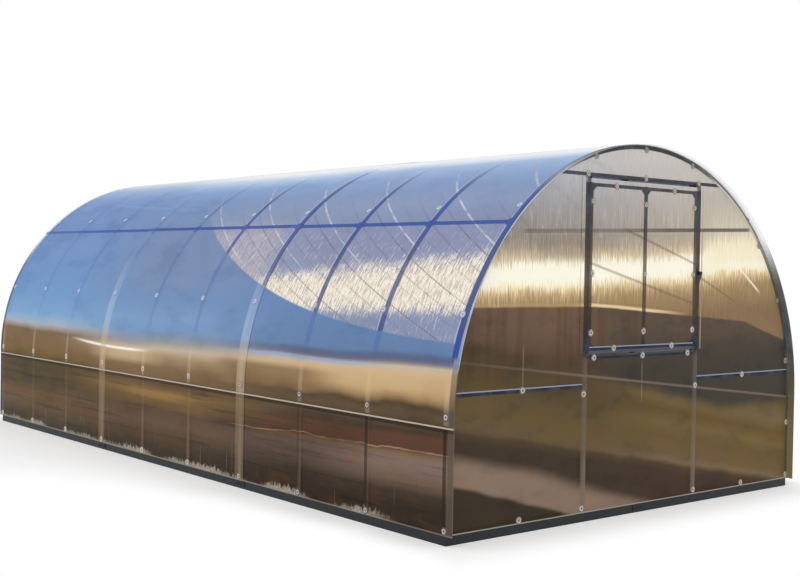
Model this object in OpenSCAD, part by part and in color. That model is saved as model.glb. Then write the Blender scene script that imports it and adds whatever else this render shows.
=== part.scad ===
// Arched greenhouse: bent tube arches on a channel base, covered with twin-wall sheet.
// +Z up, +Y along the length towards the door end, the vent gable faces -Y.
// The origin is on the ground, in the middle of the footprint.

/* [Frame] */
// Width over the outer faces of the arch legs
frame_w = 3000; // [2400:50:3600]
// Height of the straight legs, where the round part starts
leg_h = 620; // [400:10:900]
// Number of bays between arches
bays = 9; // [9:1:9]
// Distance between arch centre lines
bay = 640; // [500:10:1000]
// Side of the square arch tube
arch_tube = 20; // [15:1:40]
// Side of the square purlin tube
purlin_tube = 20; // [15:1:30]
// Wall thickness of every tube
tube_wall = 1.5; // [1:0.5:3]
// Height of the lower purlin centre line
low_purlin_z = 582; // [300:1:800]
// Angle of the upper purlins above the spring line
up_purlin_a = 43.3; // [25:0.1:70]

/* [Base] */
// Height of the base channel
base_h = 50; // [40:5:120]
// Width of the base channel
base_w = 40; // [30:5:80]
// Thickness of the base channel
base_t = 2; // [2:0.5:5]
// Height of the foot brackets above the base
foot_h = 60; // [30:5:90]

/* [Gable] */
// Distance between the centre lines of the two posts
post_gap = 990; // [700:10:1200]
// Width of a post, seen from the front
post_w = 40; // [20:5:60]
// Height of the crossbar centre line
crossbar_z = 1928; // [1700:2:2000]
// Height of the sill bar centre line
sill_z = 915; // [700:5:1300]
// Height of the girt centre line
girt_z = 757; // [300:1:900]
// Side of the square tube of girts, crossbar and sill
bar_tube = 20; // [15:1:30]
// Width of the gusset plates at the bar ends
gusset_w = 60; // [40:5:100]

/* [Vent and door] */
// Side of the square tube of the sash and the door
sash_tube = 20; // [15:1:30]
// Gap between a leaf and the posts beside it
leaf_gap = 10; // [5:1:20]
// Gap between the sash and the sill bar
sill_gap = 25; // [5:1:50]
// Gap between a leaf and the crossbar over it
head_gap = 36; // [5:1:60]
// How far a leaf's sheet laps past the posts' inner faces
leaf_lap = 70; // [20:5:90]
// Length of the corner plates welded in the leaves
corner_w = 50; // [30:5:80]
// Gap between the door and the bottom rail
door_gap = 10; // [5:1:30]
// Height of the latch and the handle
latch_z = 1390; // [1000:10:1600]

/* [Sheet] */
// Thickness of the twin-wall sheet
sheet_t = 4; // [4:1:10]
// How far the cover stands out past each gable
overhang = 50; // [30:5:150]
// Width of the lap where two cover sheets meet
sheet_lap = 100; // [60:5:150]
// Arch on which the front lap lies, counted from the front gable
front_lap_bay = 3; // [1:1:4]
// Arch on which the rear lap lies
rear_lap_bay = 6; // [5:1:8]

/* [Clearances] */
// Room between a curved face and what lies against it
curve_gap = 0.3; // [0.1:0.1:1]

/* [Hidden] */

arc_fn = 240;
arc_r = frame_w / 2;
arc_in = arc_r - arch_tube;
frame_len = bays * bay + arch_tube;
front_y = -frame_len / 2;
cover_r = arc_r + curve_gap;
plate_t = 3;
half_post = post_gap / 2;
post_in = half_post - post_w / 2;
post_z0 = base_h + bar_tube;
crossbar_bot = crossbar_z - bar_tube / 2;
sill_top = sill_z + bar_tube / 2;
leaf_half = post_in - leaf_gap;
leaf_top = crossbar_bot - head_gap;
sash_bot = sill_top + sill_gap;
door_bot = post_z0 + door_gap;
door_mid = sash_bot;
leaf_sheet_half = post_in + leaf_lap;
leaf_sheet_top = leaf_top + head_gap * 2 / 3;
vent_sheet_bot = sill_top + sill_gap / 3;
door_sheet_bot = base_h + bar_tube / 2;
steel = [0.24, 0.26, 0.3];
zinc = [0.62, 0.63, 0.64];
black = [0.07, 0.07, 0.08];
bronze = [0.45, 0.36, 0.27, 0.6];
base_dark = [0.16, 0.17, 0.21];

function arch_y(i) = front_y + arch_tube / 2 + i * bay;

// A bar of square or flat tube along X from x0 to x1, open at both ends
module tube_x(x0, x1, w, h, wall) {
    difference() {
        translate([x0, -w / 2, -h / 2])
            cube([x1 - x0, w, h]);
        translate([x0 - 1, -w / 2 + wall, -h / 2 + wall])
            cube([x1 - x0 + 2, w - 2 * wall, h - 2 * wall]);
    }
}

// The same bar along Y
module tube_y(y0, y1, w, h, wall) {
    difference() {
        translate([-w / 2, y0, -h / 2])
            cube([w, y1 - y0, h]);
        translate([-w / 2 + wall, y0 - 1, -h / 2 + wall])
            cube([w - 2 * wall, y1 - y0 + 2, h - 2 * wall]);
    }
}

// The same bar along Z, w wide in X and d deep in Y
module tube_z(z0, z1, w, d, wall) {
    difference() {
        translate([-w / 2, -d / 2, z0])
            cube([w, d, z1 - z0]);
        translate([-w / 2 + wall, -d / 2 + wall, z0 - 1])
            cube([w - 2 * wall, d - 2 * wall, z1 - z0 + 2]);
    }
}

// Everything under an arch of radius r: half a disc on two straight sides down to z0
module arch_space(r, y0, y1, z0) {
    translate([-r, y0, z0])
        cube([2 * r, y1 - y0, leg_h - z0]);
    intersection() {
        translate([0, y1, leg_h])
            rotate([90, 0, 0])
                cylinder(r = r, h = y1 - y0, $fn = arc_fn);
        translate([-r - 1, y0 - 1, leg_h - 1])
            cube([2 * r + 2, y1 - y0 + 2, r + 2]);
    }
}

// A bent strip of thickness t inside radius r, with its ends at z0
module arch_strip(r, t, y0, y1, z0) {
    difference() {
        arch_space(r, y0, y1, z0);
        arch_space(r - t, y0 - 1, y1 + 1, z0 - 1);
    }
}

// One arch of hollow tube
module arch(i) {
    y = arch_y(i);
    half = arch_tube / 2;
    color(steel)
        difference() {
            arch_strip(arc_r, arch_tube, y - half, y + half, base_h);
            arch_strip(arc_r - tube_wall, arch_tube - 2 * tube_wall,
                       y - half + tube_wall, y + half - tube_wall, base_h - 1);
        }
}

// One mitred channel of the base, open towards the inside of the greenhouse
module base_channel(len) {
    difference() {
        linear_extrude(base_h)
            polygon([[-len / 2, 0], [len / 2, 0], [len / 2 - base_w, base_w],
                     [-len / 2 + base_w, base_w]]);
        translate([0, 0, base_t])
            linear_extrude(base_h - 2 * base_t)
                polygon([[-len / 2 + base_t, base_t], [len / 2 - base_t, base_t],
                         [len / 2 - base_w - 1, base_w + 1],
                         [-len / 2 + base_w + 1, base_w + 1]]);
    }
}

module base_rail_end(side) {
    color(base_dark)
        rotate([0, 0, side < 0 ? 0 : 180])
            translate([0, front_y, 0])
                base_channel(frame_w);
}

module base_rail_side(side) {
    color(base_dark)
        rotate([0, 0, side < 0 ? -90 : 90])
            translate([0, -arc_r, 0])
                base_channel(frame_len);
}

// Plates on the outside of the base where its lengths meet: two on each side, one at each end
module base_splices() {
    len = 110;
    margin = 7;
    high = base_h - 2 * margin;
    color(base_dark) {
        for (side = [-1, 1])
            for (i = [front_lap_bay, rear_lap_bay])
                translate([side < 0 ? -arc_r - base_t : arc_r, arch_y(i) - len / 2, margin])
                    cube([base_t, len, high]);
        for (end = [-1, 1])
            translate([-len / 2, end < 0 ? front_y - base_t : -front_y, margin])
                cube([len, base_t, high]);
    }
}

// Angle brackets between the arch legs and the base
module foot_brackets() {
    leaf = base_w - arch_tube - curve_gap;
    color(zinc)
        for (side = [-1, 1])
            for (i = [1 : bays - 1])
                translate([side * arc_in, arch_y(i), base_h])
                    rotate([0, 0, side < 0 ? 0 : 180])
                        translate([0, -arch_tube / 2, 0])
                            union() {
                                cube([plate_t, arch_tube, foot_h]);
                                cube([leaf, arch_tube, plate_t]);
                            }
}

// Purlin bars between neighbouring arches; a is the angle on the round part, or -1 for the leg
module purlin(side, a) {
    color(steel)
        for (i = [0 : bays - 1])
            on_arch(side, a)
                tube_y(arch_y(i) + arch_tube / 2, arch_y(i + 1) - arch_tube / 2,
                       purlin_tube, purlin_tube, tube_wall);
}

// Places a purlin, centred on local x = 0, with its inner face curve_gap inside the arch's inner face
module on_arch(side, a) {
    tilt = a < 0 ? 0 : a;
    z = a < 0 ? low_purlin_z : leg_h;
    mirror([side < 0 ? 1 : 0, 0, 0])
        translate([0, 0, z])
            rotate([0, -tilt, 0])
                translate([arc_in - curve_gap + purlin_tube / 2, 0, 0])
                    children();
}

// Diamond plates across each arch, behind it, that tie the purlin bars together;
// an end arch has the inner half of one
module purlin_plates() {
    reach = 45;
    half_l = arch_tube / 2 + reach;
    half_h = 26;
    flat_h = purlin_tube / 2 - 2;
    color(zinc)
        for (side = [-1, 1])
            for (a = [-1, up_purlin_a])
                for (i = [0 : bays])
                    on_arch(side, a) {
                        back = i == 0 ? -arch_tube / 2 : -half_l;
                        front = i == bays ? arch_tube / 2 : half_l;
                        translate([-purlin_tube / 2 - plate_t, arch_y(i), 0])
                            rotate([90, 0, 90])
                                linear_extrude(plate_t)
                                    intersection() {
                                        polygon([[-half_l, -flat_h], [-arch_tube / 2, -half_h],
                                                 [arch_tube / 2, -half_h], [half_l, -flat_h],
                                                 [half_l, flat_h], [arch_tube / 2, half_h],
                                                 [-arch_tube / 2, half_h], [-half_l, flat_h]]);
                                        translate([back, -half_h])
                                            square([front - back, 2 * half_h]);
                                    }
                    }
}

// Gable bars lie in the depth of the end arch; end is -1 at the front and 1 at the rear
function gable_y(end) = end * (frame_len / 2 - arch_tube / 2);

// Cuts children to the space inside the end arch
module inside_arch(end) {
    intersection() {
        children();
        arch_space(arc_in - curve_gap, gable_y(end) - arch_tube, gable_y(end) + arch_tube, 0);
    }
}

module bottom_rail(end) {
    color(steel)
        translate([0, gable_y(end), base_h + bar_tube / 2])
            tube_x(-arc_in, arc_in, arch_tube, bar_tube, tube_wall);
}

module post(end, side) {
    color(steel)
        translate([side * half_post, gable_y(end), 0])
            tube_z(post_z0, crossbar_bot, post_w, arch_tube, tube_wall);
}

module crossbar(end) {
    color(steel)
        inside_arch(end)
            translate([0, gable_y(end), crossbar_z])
                tube_x(-arc_in, arc_in, arch_tube, bar_tube, tube_wall);
}

module girts(end) {
    color(steel)
        inside_arch(end)
            for (side = [-1, 1])
                translate([0, gable_y(end), girt_z])
                    tube_x(side < 0 ? -arc_r : half_post + post_w / 2,
                           side < 0 ? -half_post - post_w / 2 : arc_r,
                           arch_tube, bar_tube, tube_wall);
}

module front_sill() {
    color(steel)
        translate([0, gable_y(-1), sill_z])
            tube_x(-post_in, post_in, arch_tube, bar_tube, tube_wall);
}

// Flat plates behind the gable bars: one at each post top, one at each girt end
module gusset_plates() {
    low = gusset_w / 2;
    color(zinc)
        for (end = [-1, 1])
            for (side = [-1, 1]) {
                inner = gable_y(end) - end * arch_tube / 2;
                y0 = end < 0 ? inner : inner - plate_t;
                translate([side * half_post, y0 + plate_t, 0])
                    rotate([90, 0, 0])
                        linear_extrude(plate_t)
                            polygon([[-gusset_w, crossbar_z + bar_tube / 2],
                                     [-gusset_w, crossbar_bot],
                                     [-post_w / 2, crossbar_bot - gusset_w],
                                     [post_w / 2, crossbar_bot - gusset_w],
                                     [gusset_w, crossbar_bot],
                                     [gusset_w, crossbar_z + bar_tube / 2]]);
                translate([side * (half_post + post_w / 2), y0, girt_z - low])
                    mirror([side < 0 ? 1 : 0, 0, 0])
                        translate([-post_w, 0, 0])
                            cube([post_w + gusset_w, plate_t, gusset_w]);
            }
}

// A gable sheet on the outer face of the end arch, cut out between the posts' centre lines
// from cut_z0 up
module gable_sheet(end, cut_z0) {
    outer = end * frame_len / 2;
    y0 = end < 0 ? outer - sheet_t : outer;
    color(bronze)
        difference() {
            arch_space(arc_r, y0, y0 + sheet_t, base_h);
            translate([-half_post, y0 - 1, cut_z0])
                cube([2 * half_post, sheet_t + 2, crossbar_z - cut_z0]);
        }
}

// The bars of a leaf stand out through the gable sheet's cut-out, flush with its outer face
function leaf_y(end) = end * (frame_len / 2 + sheet_t - sash_tube / 2);

// A flat triangle in the corner of a leaf; sx and sz point into the corner
module corner_plate(x, z, sx, sz) {
    translate([x, plate_t / 2, z])
        rotate([90, 0, 0])
            linear_extrude(plate_t)
                polygon([[0, 0], [sx * corner_w, 0], [0, sz * corner_w]]);
}

// The welded frame of a leaf from z0 to leaf_top
module leaf_ring(z0) {
    difference() {
        translate([-leaf_half, -sash_tube / 2, z0])
            cube([2 * leaf_half, sash_tube, leaf_top - z0]);
        translate([-leaf_half + sash_tube, -sash_tube, z0 + sash_tube])
            cube([2 * (leaf_half - sash_tube), 2 * sash_tube, leaf_top - z0 - 2 * sash_tube]);
    }
}

module leaf_corners(z0) {
    x = leaf_half - sash_tube;
    for (side = [-1, 1]) {
        corner_plate(side * x, leaf_top - sash_tube, -side, -1);
        corner_plate(side * x, z0 + sash_tube, -side, 1);
    }
}

module vent_frame() {
    color(steel)
        translate([0, leaf_y(-1), 0])
            union() {
                leaf_ring(sash_bot);
                leaf_corners(sash_bot);
                translate([-sash_tube / 2, -sash_tube / 2, sash_bot + sash_tube / 2])
                    cube([sash_tube, sash_tube, leaf_top - sash_bot - sash_tube]);
                for (side = [-1, 1]) {
                    corner_plate(side * sash_tube / 2, leaf_top - sash_tube, side, -1);
                    corner_plate(side * sash_tube / 2, sash_bot + sash_tube, side, 1);
                }
            }
}

module door_frame() {
    color(steel)
        translate([0, leaf_y(1), 0])
            union() {
                leaf_ring(door_bot);
                leaf_corners(door_bot);
                translate([-leaf_half + sash_tube / 2, -sash_tube / 2, door_mid])
                    cube([2 * leaf_half - sash_tube, sash_tube, sash_tube]);
            }
}

// A leaf's sheet lies on the gable sheet and the leaf's bars
module leaf_sheet(end, z0) {
    outer = end * (frame_len / 2 + sheet_t);
    color(bronze)
        translate([-leaf_sheet_half, end < 0 ? outer - sheet_t : outer, z0])
            cube([2 * leaf_sheet_half, sheet_t, leaf_sheet_top - z0]);
}

// A turn latch on the outside of a leaf's free edge: plate, round boss and a slanted grip;
// inset is how far its centre is from the post's inner face
module turn_latch(end) {
    face = end * (frame_len / 2 + 2 * sheet_t);
    inset = 24;
    plate_h = 80;
    plate_w = 26;
    boss_r = 11;
    boss_l = 18;
    grip_l = 75;
    grip_w = 16;
    grip_t = 8;
    lean = 25;
    color(black)
        translate([-end * (post_in + inset), face, latch_z])
            rotate([0, 0, end < 0 ? 0 : 180])
                union() {
                    translate([-plate_w / 2, -plate_t, -plate_h / 2])
                        cube([plate_w, plate_t, plate_h]);
                    rotate([90, 0, 0])
                        cylinder(r = boss_r, h = boss_l + plate_t, $fn = 48);
                    translate([0, -boss_l - plate_t, 0])
                        rotate([0, lean, 0])
                            translate([-grip_w / 2, -grip_t, -grip_l + grip_w / 2])
                                cube([grip_w, grip_t, grip_l]);
                }
}

// Butt hinges on the left edge of each leaf, seen from outside: the post leaf, the sash leaf
// and the barrel, behind the leaf
module hinge(end, z) {
    barrel_r = 5;
    barrel_l = 60;
    leaf_t = 2;
    leaf_len = 30;
    barrel_y = 2;
    inner = end * (frame_len / 2 - arch_tube);
    step = arch_tube - sash_tube + sheet_t;
    translate([end * (post_in - leaf_gap / 2), inner, z])
        rotate([0, 0, end < 0 ? 0 : 180])
            union() {
                translate([0, barrel_y, -barrel_l / 2])
                    cylinder(r = barrel_r, h = barrel_l, $fn = 32);
                translate([-leaf_len, 0, -barrel_l / 2])
                    cube([leaf_len, leaf_t, barrel_l]);
                translate([-leaf_t / 2, -step, -barrel_l / 2])
                    cube([leaf_len - leaf_gap / 2, leaf_t, barrel_l]);
                translate([-leaf_t / 2, -step, -barrel_l / 2])
                    cube([leaf_t, step + barrel_y, barrel_l]);
            }
}

module hinges() {
    inset = 150;
    color(zinc) {
        for (z = [sash_bot + inset, leaf_top - inset])
            hinge(-1, z);
        for (z = [door_bot + inset, (door_bot + leaf_top) / 2, leaf_top - inset])
            hinge(1, z);
    }
}

// A cover sheet from y0 to y1 on layer 0 (on the arches) or 1 (on top of its neighbours)
module cover_sheet(y0, y1, layer) {
    color(bronze)
        arch_strip(cover_r + layer * (sheet_t + curve_gap) + sheet_t, sheet_t, y0, y1, base_h);
}

base_rail_end(-1);  // base_rail_front
base_rail_end(1);  // base_rail_rear
base_rail_side(-1);  // base_rail_left
base_rail_side(1);  // base_rail_right
base_splices();
foot_brackets();
arch(0);  // front_arch
arch(1);  // arch_2
arch(2);  // arch_3
arch(3);  // arch_4
arch(4);  // arch_5
arch(5);  // arch_6
arch(6);  // arch_7
arch(7);  // arch_8
arch(8);  // arch_9
arch(bays);  // rear_arch
purlin(-1, -1);  // purlin_left_lower
purlin(-1, up_purlin_a);  // purlin_left_upper
purlin(1, -1);  // purlin_right_lower
purlin(1, up_purlin_a);  // purlin_right_upper
purlin_plates();
bottom_rail(-1);  // front_bottom_rail
post(-1, -1);  // front_post_left
post(-1, 1);  // front_post_right
crossbar(-1);  // front_crossbar
front_sill();
girts(-1);  // front_girts
gable_sheet(-1, sill_z);  // front_glazing
vent_frame();
leaf_sheet(-1, vent_sheet_bot);  // vent_sheet
turn_latch(-1);  // vent_latch
bottom_rail(1);  // rear_bottom_rail
post(1, -1);  // rear_post_left
post(1, 1);  // rear_post_right
crossbar(1);  // rear_crossbar
girts(1);  // rear_girts
gable_sheet(1, post_z0 - bar_tube / 2);  // rear_glazing
door_frame();
leaf_sheet(1, door_sheet_bot);  // door_sheet
turn_latch(1);  // door_handle
gusset_plates();
hinges();
cover_sheet(front_y - overhang, arch_y(front_lap_bay) + sheet_lap / 2, 0);  // cover_front
cover_sheet(arch_y(front_lap_bay) - sheet_lap / 2, arch_y(rear_lap_bay) + sheet_lap / 2, 1);  // cover_middle
cover_sheet(arch_y(rear_lap_bay) - sheet_lap / 2, -front_y + overhang, 0);  // cover_rear
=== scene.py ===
import math

import bpy
import numpy as np
from mathutils import Matrix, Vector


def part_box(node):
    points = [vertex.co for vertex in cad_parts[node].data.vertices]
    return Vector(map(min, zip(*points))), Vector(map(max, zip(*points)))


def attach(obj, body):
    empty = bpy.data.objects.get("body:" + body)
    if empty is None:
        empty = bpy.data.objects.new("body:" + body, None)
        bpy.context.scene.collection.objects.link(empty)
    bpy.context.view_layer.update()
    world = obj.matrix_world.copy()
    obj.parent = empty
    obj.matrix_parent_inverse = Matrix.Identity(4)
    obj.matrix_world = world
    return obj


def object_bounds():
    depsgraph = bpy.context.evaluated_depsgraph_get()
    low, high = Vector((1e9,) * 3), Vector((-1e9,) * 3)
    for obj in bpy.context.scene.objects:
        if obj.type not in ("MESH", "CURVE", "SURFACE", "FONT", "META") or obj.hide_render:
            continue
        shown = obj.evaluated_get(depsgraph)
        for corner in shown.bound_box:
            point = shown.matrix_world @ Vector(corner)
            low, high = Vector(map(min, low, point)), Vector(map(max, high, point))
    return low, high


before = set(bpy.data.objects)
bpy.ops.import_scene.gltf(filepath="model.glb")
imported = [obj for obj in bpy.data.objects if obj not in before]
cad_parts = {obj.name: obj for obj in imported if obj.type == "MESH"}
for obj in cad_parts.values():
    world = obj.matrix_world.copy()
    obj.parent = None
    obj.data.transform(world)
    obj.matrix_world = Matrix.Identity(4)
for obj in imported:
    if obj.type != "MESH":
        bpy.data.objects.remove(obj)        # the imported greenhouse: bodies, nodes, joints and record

cadLow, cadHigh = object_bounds()

# Sizes that the looks follow: all but the distance between the ribs are read from the CAD pieces
ribPitch = 0.0105
archNames = ["front_arch"] + [f"arch_{k}" for k in range(2, 10)] + ["rear_arch"]
archBoxes = [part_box(name) for name in archNames]
archPlaces = [(low.y + high.y) / 2 for low, high in archBoxes]
archTube = archBoxes[0][1].y - archBoxes[0][0].y
archRadius = archBoxes[0][1].x
legHeight = archBoxes[0][1].z - archRadius
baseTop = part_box("base_rail_front")[1].z
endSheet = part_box("cover_front")
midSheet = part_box("cover_middle")
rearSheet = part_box("cover_rear")
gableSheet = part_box("front_glazing")
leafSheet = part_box("vent_sheet")
sheetThick = gableSheet[1].y - gableSheet[0].y
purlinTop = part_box("purlin_left_lower")[1].z
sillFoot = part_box("front_sill")[0].z
archBay = (archPlaces[-1] - archPlaces[0]) / (len(archPlaces) - 1)
quarterTurn = math.pi / 2
girthTop = legHeight + archRadius * quarterTurn
print("frame read:", len(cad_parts), "nodes, arches at", [round(y, 2) for y in archPlaces])


def rgb(red, green, blue):
    # 0-255 screen values turned into the linear colour that a shader takes
    parts = [v / 255 for v in (red, green, blue)]
    return tuple(v / 12.92 if v <= 0.04045 else ((v + 0.055) / 1.055) ** 2.4 for v in parts) + (1.0,)


def bend(angle):
    # distance along the cover from the ground to a place at that many degrees up the bend
    return legHeight + archRadius * math.radians(angle)


class Value:
    # a number or colour that varies over a surface: each sum, product or power of it is one math node
    def __init__(self, nodes, socket):
        self.nodes, self.socket = nodes, socket

    def __add__(self, other):
        return self.nodes.calc("ADD", self, other)

    def __sub__(self, other):
        return self.nodes.calc("SUBTRACT", self, other)

    def __rsub__(self, other):
        return self.nodes.calc("SUBTRACT", other, self)

    def __mul__(self, other):
        return self.nodes.calc("MULTIPLY", self, other)

    def __pow__(self, power):
        return self.nodes.calc("POWER", self, power)

    def __abs__(self):
        return self.nodes.calc("ABSOLUTE", self)

    def fade(self, start, end, low=0.0, high=1.0):
        # smooth step from low at start to high at end
        if start > end:
            start, end, low, high = end, start, high, low
        sockets = {"Value": self, "From Min": start, "From Max": end, "To Min": low, "To Max": high}
        return self.nodes.value("ShaderNodeMapRange", sockets, interpolation_type="SMOOTHSTEP")

    def band(self, centre, half, soft):
        # 1 within half of the centre, 0 beyond half + soft
        return abs(self - centre).fade(half + soft, half)

    def lay(self, share, tone, blend="MIX"):
        # puts a tone over this colour, by that share
        self.socket = self.nodes.mix(share, self, tone, blend).socket

    def soften(self, value, start, end, share, tone, mask=1.0):
        # puts soft light of one tone over this colour, up to that share, as the value goes from start to end
        self.lay(value.fade(start, end, 0, share) * mask, tone, "SOFT_LIGHT")


class Nodes:
    # fills one shader tree: a socket takes a value's link or a plain number
    def __init__(self, tree):
        self.tree = tree
        tree.nodes.clear()

    def node(self, kind, sockets=None, **settings):
        made = self.tree.nodes.new(kind)
        for key, value in settings.items():
            setattr(made, key, value)
        for key, value in (sockets or {}).items():
            self.put(made.inputs[key], value)
        return made

    def value(self, kind, sockets=None, output=0, **settings):
        return Value(self, self.node(kind, sockets, **settings).outputs[output])

    def put(self, socket, value):
        value = getattr(value, "socket", value)
        if isinstance(value, bpy.types.NodeSocket):
            self.tree.links.new(value, socket)
        else:
            socket.default_value = value

    def calc(self, operation, *values):
        return self.value("ShaderNodeMath", dict(enumerate(values)), operation=operation)

    def largest(self, first, *others):
        for other in others:
            first = self.calc("MAXIMUM", first, other)
        return first

    def smallest(self, first, second):
        return self.calc("MINIMUM", first, second)


class Painter(Nodes):
    # one material on a Principled shader: its methods add nodes for masks, noises and colours
    def __init__(self, name, **shader):
        self.material = bpy.data.materials.new(name)
        self.material.use_nodes = True
        super().__init__(self.material.node_tree)
        self.shader = self.node("ShaderNodeBsdfPrincipled")
        self.out = self.node("ShaderNodeOutputMaterial", {0: self.shader.outputs[0]})
        self.place = self.node("ShaderNodeTexCoord").outputs["Object"]
        parts = self.node("ShaderNodeSeparateXYZ", {"Vector": self.place}).outputs
        self.x, self.y, self.z = (Value(self, part) for part in parts)
        self.set(**shader)

    def patch(self, u, v, low, high, soft):
        # 1 inside the rectangle from low to high, both (u, v)
        wide = u.band((low[0] + high[0]) / 2, (high[0] - low[0]) / 2, soft)
        return wide * v.band((low[1] + high[1]) / 2, (high[1] - low[1]) / 2, soft)

    def fromAxis(self):
        # distance from the axis of the bend, at the top of the legs, and below it from the middle plane
        up = self.largest(self.z - legHeight, 0)
        return self.calc("SQRT", self.x ** 2 + up ** 2)

    def vector(self, x, y, z):
        return self.value("ShaderNodeCombineXYZ", {"X": x, "Y": y, "Z": z})

    def noise(self, vector, scale, detail=2.0, rough=0.5, shift=(0, 0)):
        # scale is one number, or one for each part of the vector
        scale = (*scale, 1)[:3] if isinstance(scale, tuple) else (scale,) * 3
        moved = self.value("ShaderNodeMapping", {"Vector": vector, "Scale": scale, "Location": (*shift, 0)})
        sockets = {"Vector": moved, "Scale": 1.0, "Detail": detail, "Roughness": rough}
        return self.value("ShaderNodeTexNoise", sockets)

    def mix(self, share, first, second, blend="MIX"):
        # colours are values or 0-255 screen colours
        first, second = (rgb(*c) if isinstance(c, (tuple, list)) else c for c in (first, second))
        return self.value("ShaderNodeMix", {0: share, 6: first, 7: second}, 2,
                          data_type="RGBA", blend_type=blend, clamp_result=True)

    def ramp(self, value, stops, low=0.0, high=1.0):
        # colours at given values between low and high; a stop is (value, red, green, blue)
        share = self.value("ShaderNodeMapRange", {"Value": value, "From Min": low, "From Max": high})
        made = self.node("ShaderNodeValToRGB", {"Fac": share})
        places = [min(max((stop[0] - low) / (high - low), 0.0), 1.0) for stop in stops]
        elements = made.color_ramp.elements
        elements[0].position, elements[1].position = places[0], places[-1]
        for place in places[1:-1]:
            elements.new(place)
        for element, stop in zip(elements, stops):
            element.color = rgb(*stop[1:])
        return Value(self, made.outputs[0])

    def letLightIn(self, opacity, passed):
        # the sheets glow inside: lamps and sky pass through more of them than the eye does
        lamp = self.value("ShaderNodeLightPath", output="Is Shadow Ray")
        return opacity * (1.0 - lamp * passed)

    def bump(self, height, strength, distance):
        sockets = {"Height": height, "Strength": strength, "Distance": distance}
        self.put(self.shader.inputs["Normal"], self.value("ShaderNodeBump", sockets))

    def ribbed(self, along, ribs, slow):
        # the ribs of a twin-wall sheet, a little uneven, on slow waves
        wave = self.calc("SINE", along * (2 * math.pi / ribPitch))
        self.bump(wave * 0.25 + ribs + slow * 3.0, 0.25, 0.0015)

    def set(self, **sockets):
        for key, value in sockets.items():
            self.put(self.shader.inputs[key.replace("_", " ")], value)


def outerFace(distance, outside):
    # 1 on a sheet's outer face, at that distance from the middle, and 0 on its inner face
    return distance.fade(outside - sheetThick * 0.75, outside - sheetThick * 0.5)


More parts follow.
